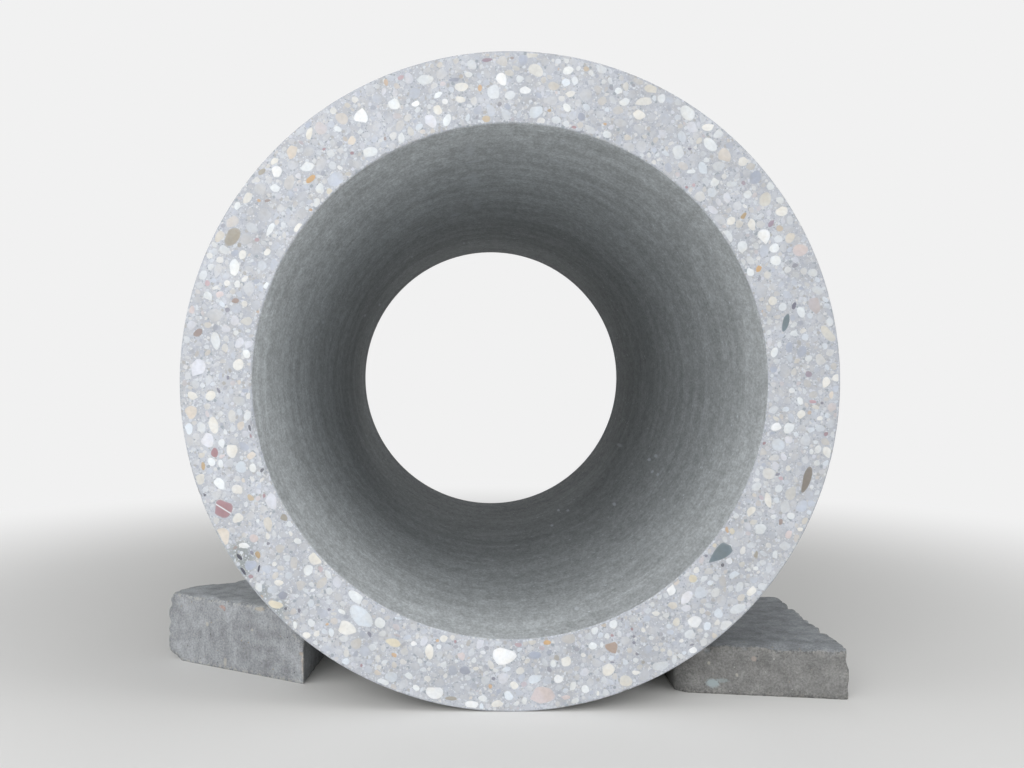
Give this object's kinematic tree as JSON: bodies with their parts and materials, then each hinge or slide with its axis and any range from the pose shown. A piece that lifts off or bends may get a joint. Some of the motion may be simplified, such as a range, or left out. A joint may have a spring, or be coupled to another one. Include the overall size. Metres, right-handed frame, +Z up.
{
  "type": "concrete culvert pipe",
  "caption": "Sawn length of concrete culvert pipe lying on its side, held from rolling by loose concrete chocks, with a plain round bore through it.",
  "frame": {"origin": "on the axis of the bore, at the pipe's mid length, 320 mm above the floor", "axes": "+Y along the bore from the near sawn end to the far one, +Z up, +X to the right seen from the near end"},
  "size_m": [0.7285, 1, 0.64],
  "materials": {
    "pipe_concrete": "matte",
    "paver_concrete": "matte",
    "tile_concrete": "matte"
  },
  "bodies": {
    "root": {"concrete_pipe": "pipe_concrete", "left_chock_paver": "paver_concrete", "right_chock_tile": "tile_concrete"}
  },
  "joints": []
}
